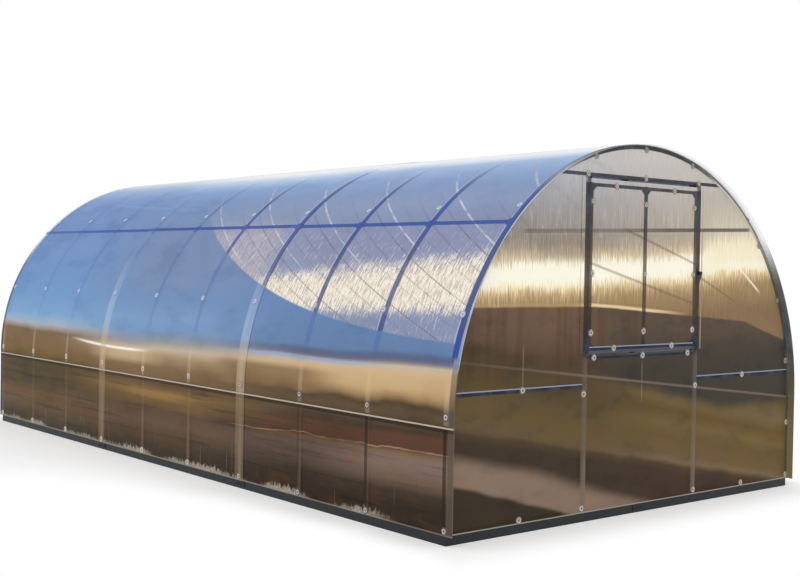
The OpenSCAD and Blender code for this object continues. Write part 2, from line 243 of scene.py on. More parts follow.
# Cover sheets: tones along the girth of the bend, at the front end and at the rear end: the bronze sheet's
# tint with sky and ground painted on it as reflections, brown low down, blue higher up and white at the crown
coverLook = {
    "frontTones": [
        (0.05, 46, 37, 27), (0.16, 50, 38, 27), (0.24, 62, 50, 38), (0.30, 104, 86, 72),
        (0.36, 120, 101, 90), (0.42, 126, 106, 94), (0.447, 118, 97, 76), (0.468, 88, 58, 42),
        (0.53, 90, 61, 44), (0.56, 70, 54, 40), (0.60, 84, 68, 52), (0.655, 98, 82, 62),
        (0.69, 84, 68, 48), (0.715, 152, 124, 90), (0.76, 200, 168, 124), (bend(8), 206, 175, 134),
        (bend(9.6), 200, 182, 158), (bend(10.3), 122, 120, 132), (bend(10.9), 100, 103, 126),
        (bend(11.7), 90, 102, 136), (bend(12.6), 103, 128, 168), (bend(18), 101, 131, 174),
        (bend(26), 104, 132, 178), (bend(36), 106, 124, 168), (bend(44), 102, 124, 172),
        (bend(50), 122, 144, 182), (bend(56), 118, 146, 190), (bend(63), 136, 162, 204),
        (bend(69), 162, 188, 222), (bend(73), 226, 238, 252), (bend(77), 255, 255, 255),
        (bend(88), 208, 222, 240),
    ],
    "midTones": [
        (0.05, 52, 41, 31), (0.16, 58, 46, 34), (0.205, 62, 50, 37), (0.285, 78, 61, 44),
        (0.385, 98, 80, 60), (0.46, 92, 74, 56), (0.53, 114, 90, 58), (0.581, 130, 105, 68),
        (0.63, 100, 79, 54), (0.672, 124, 100, 70), (0.72, 130, 106, 76), (bend(6), 162, 138, 106),
        (bend(7.8), 194, 178, 156), (bend(9.6), 152, 150, 152), (bend(11.2), 130, 150, 174),
        (bend(13.5), 122, 154, 194), (bend(16), 124, 156, 195), (bend(21), 114, 145, 186),
        (bend(26), 120, 142, 178), (bend(31), 116, 138, 174), (bend(43), 114, 134, 172),
        (bend(49), 112, 138, 178), (bend(56), 114, 143, 188), (bend(62), 124, 156, 202),
        (bend(66), 156, 184, 220), (bend(70), 198, 216, 236), (bend(73.5), 240, 248, 255),
        (bend(77), 255, 255, 255), (bend(88), 214, 226, 242),
    ],
    "rearTones": [
        (0.05, 58, 50, 38), (0.16, 66, 58, 44), (0.205, 72, 63, 46), (0.285, 98, 80, 58),
        (0.385, 104, 83, 56), (0.485, 82, 70, 48), (0.581, 80, 68, 44), (0.64, 80, 67, 44),
        (0.672, 108, 89, 50), (0.72, 122, 98, 58), (bend(6), 126, 101, 70), (bend(8.8), 124, 102, 76),
        (bend(9.8), 160, 146, 136), (bend(11), 166, 176, 188), (bend(12.4), 146, 174, 200),
        (bend(14.5), 126, 164, 205), (bend(20), 114, 154, 200), (bend(28), 110, 146, 195),
        (bend(38), 110, 142, 191), (bend(47), 106, 136, 186), (bend(56), 110, 140, 192),
        (bend(63), 118, 149, 198), (bend(70), 150, 179, 216), (bend(75), 200, 216, 236),
        (bend(81), 236, 243, 250), (bend(90), 214, 226, 242),
    ],
    # the inner face: dark low down, painted pale to white higher up as light shining through the sheet
    "insideTones": [
        (0.30, 146, 127, 88), (0.62, 118, 107, 84), (bend(10), 84, 88, 90), (bend(20), 112, 112, 106),
        (bend(34), 226, 223, 210), (bend(56), 252, 252, 250), (bend(90), 252, 252, 252),
    ],
    # along, girth (each centre, half, soft), share, tone: a golden painted reflection, a painted glow, a dull
    # stretch of the painted reflection behind the front bays and a painted shadow low on them
    "paintedLightPatches": [
        ((3.0, 0.15, 0.45), (0.485, 0.012, 0.03), 0.35, (176, 134, 76)),
        ((3.5, 0.1, 0.6), (bend(4.6), 0.02, 0.06), 0.6, (214, 188, 150)),
        ((1.6, 0.3, 0.5), (bend(4.4), 0.04, 0.05), 0.78, (126, 101, 72)),
        ((1.5, 0.3, 0.7), (0.24, 0.14, 0.14), 0.5, (52, 38, 26)),
    ],
    # the patch of painted light starts above a cubic in the distance along, lowest power first
    "patchLine": (bend(15.2), 0.026, 0.0314, 0.0144),
    # lines of the far frame, painted on as shade where it shows through: place in a bay, share
    "farLines": ((0.28, 0.9), (0.60, 0.6), (0.84, 0.35)),
    "upperPurlin": bend(42.9),
    # colours of the painted light patch, of the tubes painted on the sheet as shade and highlights, and of
    # the laps' painted reflection
    "cream": (255, 246, 226),
    "violet": (156, 154, 168),
    "haze": (166, 165, 178),
    "tubeSky": (50, 76, 150),
    "tubePatch": (70, 81, 128),
    "tubePale": (214, 212, 220),
    "tubeLow": (38, 30, 25),
    "tubeSide": (156, 134, 114),
    "lapSky": (176, 194, 222),
    "lapLow": (196, 174, 146),
    "opaque": 0.95,
    "lightPassed": 0.7,
}


class Wrap:
    # unrolled place on the cover: along from the front arch, girth up from the ground over the bend
    def __init__(self, p):
        angle = p.calc("ARCTAN2", p.largest(p.z - legHeight, 0), abs(p.x))
        self.girth = angle * archRadius + p.smallest(p.z, legHeight)
        self.along = p.y - archPlaces[0]
        self.flat = p.vector(self.along, self.girth, p.calc("SIGN", p.x))
        self.ribs = p.noise(self.flat, (110, 9), 3.0, 0.6)
        self.fine = p.noise(self.flat, (300, 24), 1.0)
        self.drift = p.noise(self.flat, (2.3, 5.06, 2.3), 3.0, 0.6)
        self.slow = p.noise(self.flat, (1.1, 1.76, 1.1)) - 0.5
        self.coarse = p.noise(self.flat, (5, 14), 2.0, 0.6, (1, 7))
        # beside: distance from the nearest arch; besideTube: the same, but drifting with the height
        share = p.calc("FRACT", self.along * (1 / archBay) + 0.5)
        self.beside = (share - 0.5) * archBay
        self.besideTube = self.beside + self.arc(0, 50, 0.006, 0.038)

    def arc(self, start, end, low=0.0, high=1.0):
        # a fade of the girth between two places given in degrees up the bend
        return self.girth.fade(bend(start), bend(end), low, high)


def coverTones(p, w, look):
    # three ramps over the girth, of the sheet's tint with its painted sky and ground reflections, waved by
    # slow noise and leaning along the length, mixed front to rear
    lean = p.smallest(w.along, 2.5) * w.girth.fade(0.45, 0.75, 0.034, 0.012)
    wavy = w.girth + w.slow * 0.06 + lean
    hills = p.noise(w.flat, (2.6, 0.4), 2.0) * 0.12 - 0.06
    wavy += hills * w.girth.band(0.69, 0.03, 0.05)
    parts = "front", "mid", "rear"
    front, middle, rear = (p.ramp(wavy, look[part + "Tones"], 0.0, girthTop) for part in parts)
    colour = p.mix(w.along.fade(1.1, 2.7), front, middle)
    colour.lay(w.along.fade(3.3, 4.8), rear)
    # patches of painted reflection, painted glow and painted shadow
    for place, height, share, tone in look["paintedLightPatches"]:
        colour.lay(w.along.band(*place) * w.girth.band(*height) * share, tone)
    # a thin painted highlight that bows upward at both ends, a blue gap of painted sky reflection at the
    # skyline and a pale wandering line of painted reflection
    bowed = w.girth - (w.along - 3.55) ** 2 * 0.045
    crest = bowed.band(bend(5.8), 0.004, 0.01) * w.along.band(3.75, 0.3, 0.4)
    colour.lay(crest * 0.85, (255, 250, 240))
    gap = wavy.band(bend(9.7), 0.004, 0.016) * w.along.band(1.3, 0.3, 0.6)
    colour.lay(gap * 0.75, (150, 168, 200))
    bent = wavy + p.noise(w.flat, (4, 1), 2.0, 0.6, (8, 0)) * 0.05
    reflectedLine = bent.band(0.492, 0.0014, 0.0045) * w.along.fade(2.3, 1.4)
    reflectedLine *= (w.fine * 0.5 + w.drift).fade(0.58, 0.86, 0.1, 0.75)
    colour.lay(reflectedLine, (166, 142, 106))
    # warm blotches, fine streaks along the ribs and broad cloudy drifts
    warm = p.noise(w.flat, (3, 9), 3.0, 0.6, (5, 2)).fade(0.5, 0.68) * w.girth.fade(0.62, 0.5, 0, 0.18)
    colour.lay(warm, (112, 72, 48))
    layers = p.noise(w.flat, (1.1, 30), 4.0, 0.65, (4, 0))
    low = w.girth.fade(bend(3), 0.5)
    colour.soften(layers, 0.52, 0.7, 0.42, (236, 190, 130), low)
    colour.soften(layers, 0.48, 0.3, 0.42, (44, 34, 26), low)
    colour.soften(w.ribs * 0.6 + w.drift * 0.4, 0.35, 0.7, 0.22, (205, 205, 214))
    colour.soften(w.drift, 0.52, 0.3, 0.16, (36, 42, 68))
    return colour


def coverPatch(p, w, look, colour):
    # patch of painted light shining through from the far side, above a cubic line that climbs to the rear:
    # painted haze, then bright streaks of it thinned out by noise
    start, first, second, third = look["patchLine"]
    climb = ((w.along * third + second) * w.along + first) * w.along + start
    patch = (w.girth - climb).fade(-0.004, 0.01) * w.along.fade(3.9, 2.2)
    colour.lay(patch * w.arc(70, 38, 0, 0.42), look["haze"])
    # strokes up the bend, long and short; the painted glow is full from 25 to 29 degrees and frays above and
    # below
    leaned = p.vector(w.girth * 0.05 + w.along, w.girth, 0.0)
    strokes = p.noise(leaned, (84, 13), 3.0, 0.65)
    short = p.noise(leaned, (120, 58), 2.0, 0.6, (3, 1))
    coarse = p.noise(w.flat, (9, 7), 3.0, 0.65, (0, 4))
    fall = (w.girth + w.along * 0.09).fade(bend(31) + 0.24, bend(31) - 0.05)
    foot = (w.along * 0.035 + w.girth).fade(bend(18.0), bend(25))
    glow = fall * foot * w.along.fade(2.9, 1.7, 0.3, 1)
    mixed = strokes * 0.5 + short * 0.3 + coarse * 0.3
    streak = (glow * 1.25 + (mixed - 0.55) * 3.0).fade(0.32, 1.12)
    bright = p.mix(strokes.fade(0.38, 0.58), (206, 192, 178), look["cream"])
    bright.lay(short.fade(0.44, 0.32, 0, 0.55), (164, 154, 156))
    colour.lay(patch * glow * 0.6, look["violet"])
    colour.lay(patch * streak * 0.94, bright)
    # a pale wedge and pale wisps, more of the painted light
    wedge = w.along.fade(1.85, 2.1) * w.arc(47, 38) * patch * strokes.fade(0.38, 0.6, 0.12, 0.62)
    colour.lay(wedge, (204, 188, 190))
    wisps = strokes.fade(0.54, 0.68) * w.arc(48, 34, 0, 0.5)
    colour.lay(wisps * patch, (214, 208, 208))
    # the frame on the far side shows through as thin lines that slant, steeper higher up, painted on the
    # sheet: dark ones as painted shade, pale ones as painted highlights
    rise = w.girth - bend(26)
    slant = rise * (2.3 - rise * 0.85)
    phase = p.calc("FRACT", (w.along - slant) * (1 / archBay))
    faint = patch * w.arc(56, 40) * coarse.fade(0.38, 0.52, 0.25, 0.65)
    for centre, share in look["farLines"]:
        colour.lay(phase.band(centre, 0.004, 0.022) * faint * share, (112, 104, 116))
    pale = w.arc(27, 36) * w.arc(68, 50)
    pale *= phase.band(0.06, 0.006, 0.018) * patch * w.coarse.fade(0.36, 0.6, 0.08, 0.58)
    colour.lay(pale, (222, 222, 226))
    return patch


def coverTubes(p, w, look, colour, patch):
    # the tubes against the back of the sheet, painted on it as shade: blue lines in the sky part with a
    # painted glint beside them, painted shade and highlight bands on the legs
    arch = w.besideTube.band(-0.006, 0.018, 0.008) * w.arc(11.5, 13)
    arch *= p.largest(w.arc(72, 50), w.arc(83, 89, 0, 0.3))
    strong = patch * 0.66 + w.along.fade(4.8, 1.6, 0.1, 0.24)
    strong = p.largest(strong, w.along.fade(archBay * 0.6, archBay * 0.4))
    upper = look["upperPurlin"]
    purlin = w.girth.band(upper, 0.012, 0.005)
    skew = abs(w.besideTube) * 16 + abs(w.girth - upper) * 26
    crossing = skew.fade(1.15, 0.9) * w.along.fade(4.5, 1.8, 0.35, 0.95)
    whole = p.largest(arch * strong, purlin * w.along.fade(6.5, 3.0, 0.62, 0.92), crossing)
    glint = w.besideTube.band(0.021, 0.002, 0.005) * patch * 0.35
    colour.lay(glint, look["tubePale"])
    lit = patch * w.girth.band(bend(28), bend(8) - bend(0), 0.12)
    tone = p.mix(lit * purlin.fade(0.3, 0), look["tubeSky"], look["tubePatch"])
    tone.lay(w.arc(48, 58), (70, 86, 128))
    colour.lay(whole * 0.94, tone)
    # on the legs a painted highlight band and a painted shade band side by side, higher up a painted
    # highlight only, then the lower purlin as a painted shade band with a painted highlight along its top
    legs = w.girth.fade(purlinTop + 0.008, purlinTop - 0.022)
    pale = w.beside.band(-0.007, 0.009, 0.012) * legs * w.girth.fade(purlinTop + 0.008, 0.1, 0.12, 0.34)
    pale *= w.along.fade(1.8, 4.6, 1, 0.6) * w.along.fade(0.5, 1.9, 0.35, 1)
    colour.lay(pale, look["tubeSide"])
    dark = w.beside.band(0.007, 0.009, 0.008) * legs
    colour.lay(dark * w.along.fade(2.2, 0.3, 0, 0.72), look["tubeLow"])
    tall = w.beside.band(0, 0.01, 0.018) * w.arc(9.5, 6)
    tall *= w.girth.fade(purlinTop + 0.008, purlinTop + 0.018, 0, 0.17)
    colour.lay(tall, (226, 208, 180))
    colour.lay(w.girth.band(purlinTop - 0.014, 0.007, 0.006) * 0.6, look["tubeLow"])
    glow = w.girth.band(purlinTop + 0.0005, 0.0028, 0.0022) * 0.9
    colour.lay(glow, (198, 186, 174))
    return whole


def coverDirt(p, w, colour):
    # dried splashes above the base in a few bays, and a pale line along the very edge; also gives their share
    strokes = p.noise(w.flat, (30, 11), 4.0, 0.75, (3.1, 0))
    where = p.noise(w.flat, (1.27, 0), 1, shift=(2.43, 0)).fade(0.4, 0.58)
    over = w.girth - baseTop
    reach = strokes.fade(0.3, 0.72, 0.016, 0.06) * (where * 0.85 + 0.15)
    spots = p.noise(w.flat, (150, 46), 3.0, 0.7).fade(0.32, 0.62, 0.25, 1)
    dirty = (reach - over).fade(-0.01, 0.016) * spots * (where * 0.62 + 0.12)
    dirty *= w.along.fade(0.25, 0.8, 0.1, 1)
    colour.lay(dirty, (206, 196, 178))
    thread = p.noise(w.flat, (95, 2.4), 1, shift=(7, 2)).fade(0.7, 0.8) * over.fade(0.42, 0.1, 0, 0.4)
    colour.lay(thread, (196, 182, 160))
    foot = w.girth.band(baseTop, 0.006, 0.003) * w.along.fade(0, 3.5, 0.55, 1)
    colour.lay(foot, (146, 139, 130))
    return dirty


def coverPaint(name, outside, look=coverLook):
    # outside is the radius of the sheet's outer face: nearer the axis than its middle is the inner face
    p = Painter(name, Specular_IOR_Level=0.02)
    w = Wrap(p)
    colour = coverTones(p, w, look)
    patch = coverPatch(p, w, look, colour)
    # what stands out past the gables is painted paler in front, as light shining through it, and darker at
    # the rear, as painted shade
    away = abs(p.y) - abs(gableSheet[0].y)
    beyond = away.fade(0, 0.004)
    pale = p.mix(w.arc(9, 12), (96, 85, 74), (150, 166, 198))
    pale.lay(p.y.fade(-1, 1), (54, 66, 90))
    colour.lay(beyond * w.arc(4, 8, 0.75, 0.6), pale)
    tubes = coverTubes(p, w, look, colour, patch)

    # two sheets lie on each other at the laps, and the band is painted paler there as a painted reflection
    laps = (midSheet[0].y + endSheet[1].y) / 2, (midSheet[1].y + rearSheet[0].y) / 2
    lapped = p.largest(*[p.y.band(lap, 0.04, 0.014) for lap in laps])
    lapColour = p.mix(w.arc(8, 13), look["lapLow"], look["lapSky"])
    lapped *= w.arc(36, 13, 0.05, 0.5)
    lapped *= w.girth.fade(purlinTop - 0.022, purlinTop + 0.018, 0.4, 1)
    colour.lay(lapped, lapColour)
    dirty = coverDirt(p, w, colour)

    # the cut edges and the inner face, which is painted light high up and painted shade past the gable on the
    # far side
    edgeTone = p.mix(w.arc(9, 12), (100, 90, 78), (176, 184, 200))
    colour.lay(abs(p.y).fade(cadHigh.y - 0.0035, cadHigh.y - 0.0025), edgeTone)
    outer = outerFace(p.fromAxis(), outside)
    inside = p.ramp(w.girth, look["insideTones"], 0.0, girthTop)
    farSide = p.x.fade(-0.1, 0.1)
    greyed = beyond * farSide * w.arc(3, 10, 0, 0.8)
    inside.lay(greyed, p.mix(w.coarse, (62, 63, 64), (122, 124, 126)))
    colour = p.mix(outer, inside, colour)

    # opaque where dark, a little clearer in the sky part and clearest beyond the gable high up
    opacity = w.arc(9, 14, 0.97, look["opaque"])
    clear = farSide * w.arc(27, 43, 0, 0.86) * away.fade(0.014, 0.024, 0.25, 1)
    clear = beyond * p.largest(clear, w.arc(26, 42, 0, 0.74))
    opacity = p.largest(opacity - clear, tubes * (0.95 - beyond * farSide * 0.95))
    shell = p.largest(outer, beyond * 0.63 + 0.12)
    alpha = p.letLightIn(opacity * shell, look["lightPassed"])
    p.set(Base_Color=colour, Alpha=alpha, Roughness=dirty * 0.5 + w.ribs * 0.16 + 0.14)
    p.ribbed(w.along, w.ribs, w.slow)
    return p.material


# Gable sheets: the bronze sheet's tint with sky and ground painted on it as reflections, in bands that rise
# to the right over a border and bands that fall to the right under it
gableLook = {
    "upperTones": [
        (1.10, 136, 110, 80), (1.15, 146, 120, 88), (1.20, 154, 128, 92), (1.26, 168, 142, 102),
        (1.305, 210, 184, 140), (1.345, 250, 238, 204), (1.37, 255, 252, 234), (1.455, 255, 250, 230),
        (1.49, 216, 198, 166), (1.55, 178, 162, 142), (1.62, 164, 155, 144), (1.70, 172, 166, 162),
        (1.8, 178, 176, 178), (1.92, 198, 197, 200), (2.13, 214, 213, 215),
    ],
    "oliveTones": [
        (0.535, 60, 48, 37), (0.575, 72, 59, 44), (0.600, 96, 82, 62), (0.63, 98, 84, 61),
        (0.68, 98, 83, 56), (0.76, 94, 80, 56), (0.86, 84, 72, 50), (1.0, 80, 68, 50),
    ],
    "goldTones": [
        (0.54, 64, 49, 37), (0.575, 78, 63, 47), (0.606, 116, 99, 78), (0.64, 106, 88, 62),
        (0.74, 102, 84, 52), (0.82, 112, 94, 60), (0.90, 98, 79, 46), (0.98, 114, 98, 66),
        (1.1, 98, 84, 56),
    ],
    "pink": (130, 111, 97),
    "border": 1.195,
    # lines of the frame further in, painted on as shade where they show through, each from start to end (x,
    # z)
    "farLines": [((-0.20, 1.64), (0.54, 1.425)), ((0.44, 1.40), (0.92, 1.205)),
                 ((-0.52, 1.45), (0.55, 1.185))],
    # the far purlin, painted on as shade, and a pale streak, a painted highlight, each from start to end (x,
    # z)
    "farPurlin": ((-1.02, 1.598), (1.06, 1.668)),
    "streak": ((0.86, 1.475), (1.17, 1.26)),
    # pale streaks under the middle washers, painted glints: x, z
    "washerGlints": ((0.0, 0.76), (-0.978, 0.87)),
    # tones of the bars painted on the sheet as shade, a paler trace low down, and the painted highlight along
    # their tops
    "barTones": [
        (0.90, 40, 46, 60), (0.98, 44, 46, 58), (1.12, 58, 50, 45), (1.30, 72, 63, 53),
        (1.45, 74, 66, 55), (1.62, 68, 64, 60), (1.75, 62, 65, 72), (1.95, 50, 54, 62),
        (2.1, 40, 41, 42),
    ],
    "barLow": (118, 107, 94),
    "barTop": (158, 164, 178),
    "opaqueLow": 0.97,
    "opaqueBand": 0.93,
    "opaqueTop": 0.72,
    "lightPassed": 0.7,
}


def gableBars(end):
    # the bars behind a gable's sheets as rectangles (x, z), the lines along their tops and the leaf's corners
    ends, leaf = ("front", "vent_frame") if end < 0 else ("rear", "door_frame")
    rails, tops = [], []

    def rail(left, foot, right, top, lined=False):
        rails.append(((left, foot), (right, top)))
        if lined:
            tops.append(((left, top - 0.003), (right, top + 0.002)))

    boxes = [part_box(f"{ends}_post_{side}") for side in ("left", "right")]
    posts = [((low.x, low.z), (high.x, high.z)) for low, high in boxes]
    postEdge = boxes[1][1].x
    low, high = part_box(f"{ends}_crossbar")
    rail(low.x, low.z + 0.002, high.x, high.z - 0.002)
    low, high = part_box(f"{ends}_girts")
    for side in (-1, 1):
        left, right = sorted((side * postEdge, side * high.x))
        rail(left, low.z, right, high.z, True)
    low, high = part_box(leaf)
    rail(low.x, high.z - archTube + 0.002, high.x, high.z - 0.002)
    rail(low.x, low.z, high.x, low.z + archTube, end < 0)
    for side in (-1, 1):
        left, right = sorted((side * postEdge, side * (high.x - archTube * 0.45)))
        rail(left, low.z, right, high.z)
    half = archTube / 2
    levels = low.z + half, high.z - half
    corners = [(side * (high.x - half), level) for side in (-1, 1) for level in levels]
    if end < 0:
        rail(-0.014, low.z, 0.014, high.z)
        corners += [(0.0, level) for level in levels]
        low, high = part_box("front_sill")
        rail(low.x, low.z, high.x, high.z, True)
    else:
        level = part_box("vent_frame")[0].z
        rail(low.x, level, high.x, level + archTube)
    return posts, rails, tops, corners


def slopeLine(p, across, start, stop, half, soft):
    # a straight line on the gable from start to stop (x, z), faded out at both ends
    lean = (stop[1] - start[1]) / (stop[0] - start[0])
    height = p.z - across * lean
    ends = across.fade(start[0], start[0] + 0.06) * across.fade(stop[0], stop[0] - 0.06)
    return height.band(start[1] - lean * start[0], half, soft) * ends


def gableTones(p, across, flat, ribs, look):
    # upper ramp on height less a share of the way across, lower ramps on height plus a share of it
    fine = p.noise(flat, (260, 16), 1.0)
    slow = p.noise(flat, (1.8, 4.32), 3.0, 0.6) - 0.5
    ragged = ribs * 0.55 + fine * 0.45 - 0.5
    rise = p.z - across * 0.055 - abs(across) * 0.015 + slow * 0.09 + ragged * 0.26
    upper = p.ramp(rise, look["upperTones"], 1.0, 2.2)
    # painted light: a warm glow across the band to the right, and a pale glow above it that grows to the
    # right
    warm = across.fade(0.36, 0.72) * rise.fade(1.86, 1.48, 0, 0.9) * rise.fade(1.33, 1.42)
    upper.lay(warm, (250, 238, 208))
    glow = across.fade(-0.8, 0.6, 0, 0.5) * rise.fade(1.5, 1.62)
    upper.lay(glow, (232, 218, 196))
    hatch = p.noise(flat, (130, 5), 2.0, 0.6, (2, 0))
    strength = rise.fade(1.22, 1.4, 0.4, 1) * rise.fade(1.78, 1.55, 0.55, 1)
    upper.soften(hatch, 0.52, 0.66, 0.48, (250, 244, 228), strength)
    upper.soften(hatch, 0.47, 0.34, 0.42, (60, 50, 40), strength)
    dim = across.band(-0.68, 0.1, 0.25) * p.z.band(1.51, 0.03, 0.06)
    upper.lay(dim * 0.5, (140, 127, 114))
    # pale blotches high up, part of the painted reflection
    worn = p.noise(flat, (40, 9), 3.0, 0.7, (9, 0)).fade(0.56, 0.68)
    upper.lay(worn * rise.fade(1.4, 1.6, 0, 0.26), (238, 228, 208))
    # the frame further in painted as shade lines, and a painted highlight streak
    for start, stop in look["farLines"]:
        upper.lay(slopeLine(p, across, start, stop, 0.003, 0.010) * 0.5, (116, 98, 78))
    streak = slopeLine(p, across, *look["streak"], 0.004, 0.010)
    upper.lay(streak * 0.7, (255, 248, 226))

    # under the border, painted reflection too: olive tones to the left, golden to the right, a pink band low
    # down and a dull one above, brown to the left and grey to the right
    span = across + archRadius
    wobble = (p.noise(flat, (4, 1), 3.0) - 0.5) * 0.035 + slow * 0.045
    fall = span * 0.186 + p.z + wobble
    left, right = (p.ramp(fall, look[part + "Tones"], 0.0, 1.6) for part in ("olive", "gold"))
    lower = p.mix(across.fade(-0.6, 0.4), left, right)
    steep = span * p.z.fade(0.6, 0.1, 0.18, 0.26) + p.z + wobble * 0.8
    pink = steep.fade(0.272, 0.318) * steep.fade(0.492, 0.428) * across.fade(0.75, 0.05)
    tone = p.mix(steep.fade(0.4, 0.47), look["pink"], [v * 0.86 for v in look["pink"]])
    lower.lay(pink, tone)
    floorLine = steep.fade(0.31, 0.28) * across.fade(0.5, -0.5)
    lower.lay(floorLine, (54, 44, 32))
    above = p.z - p.largest(0.75 - across, 0) * 0.22 - 0.56 + wobble
    grey = p.mix(p.z.fade(0.84, 1.12), (64, 61, 54), (90, 77, 65))
    brown = p.mix(p.z.fade(0.82, 1.12), (78, 63, 51), (106, 85, 69))
    lower.lay(above.fade(-0.05, 0.05), p.mix(across.fade(-0.65, -0.12), brown, grey))
    stripes = p.noise(flat, (13, 0.5), 1).fade(0.5, 0.62) * p.z.fade(0.72, 0.92)
    stripes *= across.fade(0.2, -0.4, 0.25, 1)
    lower.lay(stripes * 0.28, (74, 48, 38))
    cloud = p.noise(flat, (3.5, 7), 3.0, 0.6, (0, 3))
    lower.soften(cloud, 0.45, 0.7, 0.35, (220, 196, 150))
    lower.soften(cloud, 0.5, 0.3, 0.2, (40, 28, 20))
    lower.soften(ribs, 0.4, 0.75, 0.2, (210, 190, 160))
    # the far lower purlin, painted as a faint pale highlight line where it shows through
    far = (across * 0.114 + p.z).band(0.757, 0.003, 0.008)
    lower.lay(far * across.fade(-1.5, -0.2, 0.15, 0.5), (138, 122, 112))
    # painted glints: pale streaks under the middle washers
    washerGlints = [across.band(x, 0.002, 0.006) * p.z.band(z, 0.08, 0.06) for x, z in look["washerGlints"]]
    lower.lay(p.largest(*washerGlints) * 0.22, (176, 160, 146))

    # the border droops to the right, more so past 1 m, and has a pale rim of painted light to the left of the
    # middle
    border = look["border"] - p.largest(across + 0.42, 0) * 0.075 - p.largest(across - 1, 0) * 0.22
    over = slow * 0.02 + p.z - border
    colour = p.mix(over.fade(-0.007, 0.009), lower, upper)
    rim = over.band(0.01, 0.003, 0.01) * across.fade(-0.6, -0.42, 0.1, 0.8) * across.fade(0.45, 0.05)
    colour.lay(rim, (240, 216, 170))
    return colour, over, rise, slow


def gablePaint(name, face, look=gableLook):
    # face is the y of the sheet's outer face, on either gable
    p = Painter(name, Specular_IOR_Level=0.04)
    end = -1.0 if face < 0 else 1.0
    across = p.x * -end
    flat = p.vector(across, p.z, 0.0)
    ribs = p.noise(flat, (110, 6), 3.0, 0.6)
    colour, over, rise, slow = gableTones(p, across, flat, ribs, look)

    # the far purlin, then the arch, posts and rails against the back of the sheet show through it, painted on
    # it as shade
    far = slopeLine(p, across, *look["farPurlin"], 0.008, 0.006)
    colour.lay(far * across.fade(-0.6, 0.5, 0.45, 0.85), (84, 78, 74))
    posts, rails, tops, corners = gableBars(end)
    radial = p.fromAxis()
    band = radial.band(archRadius - archTube / 2 - 0.001, archTube / 2 + 0.001, 0.003)
    band *= across.fade(-0.75, -0.35, 0.5, 1)
    leafLow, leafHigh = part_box("vent_frame" if end < 0 else "door_frame")
    plates = []
    for x, z in corners:
        # a diamond at each corner, a larger one at the head of the mullion
        reach = 0.056 if x == 0.0 and z > legHeight * 2 else 0.040
        plates.append((abs(p.x - x) + abs(p.z - z)).fade(reach, reach - 0.007))
    leaf = p.patch(p.x, p.z, (leafLow.x, leafLow.z + 0.002), (leafHigh.x, leafHigh.z - 0.002), 0.003)
    dark = p.largest(*[p.patch(p.x, p.z, low, high, 0.004) for low, high in rails], p.largest(*plates) * leaf)
    dark = p.largest(dark * (1 - p.z.band(1.34, 0.14, 0.18) * 0.09), band)
    # each post is painted lit at its left edge and shaded towards its right one, and is a trace only between
    # the sill and its foot
    uprights = []
    for low, high in posts:
        shape = p.patch(across, p.z, low, high, 0.004)
        uprights.append(shape * across.fade(low[0], low[0] + archTube * 1.2, 0.5, 0.94))
    aboveSill = p.z.fade(sillFoot - 0.025, sillFoot + 0.035)
    upright = p.largest(*uprights) * p.largest(p.z.fade(0.44, 0.3, 0.5, 0.95), aboveSill)
    barTone = p.ramp(p.z, look["barTones"], 0.8, 2.1)
    colour.lay(upright * 0.9, p.mix(aboveSill, look["barLow"], barTone))
    blotch = p.noise(flat, (9, 9), 3.0, 0.6).fade(0.4, 0.7)
    barTone.lay(blotch * 0.25, (112, 110, 112))
    archTone = p.mix(p.z.fade(1.3, 1.55), (84, 84, 76), (152, 145, 121))
    barTone.lay(band * across.fade(0.3, 0.9, 0, 0.8), archTone)
    colour.lay(dark * 0.95, barTone)
    colour.lay(dark * p.z.band(sillFoot + 0.03, 0.03, 0.02) * 0.5, (36, 46, 64))
    # painted highlights along the tops of the bars
    pale = p.largest(*[p.patch(p.x, p.z, low, high, 0.0015) for low, high in tops])
    colour.lay(pale * 0.8, look["barTop"])
    if end < 0:
        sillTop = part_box("front_sill")[1].z
        # painted shade in the gap between the leaf and the sill
        between = p.patch(p.x, p.z, (leafLow.x, sillTop), (leafHigh.x, leafLow.z), 0.002)
        colour.lay(between * 0.85, (78, 86, 98))
    # a painted highlight along the inner edge of the arch, high on the right
    turn = p.calc("ARCTAN2", p.z - legHeight, across)
    lit = radial.band(archRadius - 0.017, 0.004, 0.004) * turn.band(0.92, 0.16, 0.1)
    colour.lay(lit * 0.8, (222, 214, 200))
    if abs(face) > abs(gableSheet[0].y) + 0.001:
        # a leaf's sheet has a painted highlight strip down its right edge and a painted shade line along both
        # edges
        edge = leafSheet[1].x
        strip = across.band(edge - 0.008, 0.005, 0.004) * p.z.fade(1.9, 1.3, 0.2, 0.7)
        colour.lay(strip, (156, 146, 130))
        colour.lay(abs(p.x).band(edge - 0.002, 0.001, 0.002) * 0.2, (70, 62, 54))

    # pale bottom edge, cut edges and inner face, then how far the eye and the light pass
    colour.lay(p.z.band(gableSheet[0].z, 0.005, 0.003), (150, 148, 138))
    outer = outerFace(p.y * end, abs(face))
    colour = p.mix(outer, (150, 142, 130), colour)
    opacity = over.fade(-0.03, 0.1, look["opaqueLow"], look["opaqueBand"])
    opacity = p.smallest(opacity, rise.fade(1.46, 1.62, 1, look["opaqueTop"]))
    opacity = p.largest(opacity, p.largest(dark, upright) * 0.9) * (outer * 0.88 + 0.12)
    p.set(Base_Color=colour, Alpha=p.letLightIn(opacity, look["lightPassed"]), Roughness=ribs * 0.14 + 0.12)
    p.ribbed(across, ribs, slow)
    return p.material


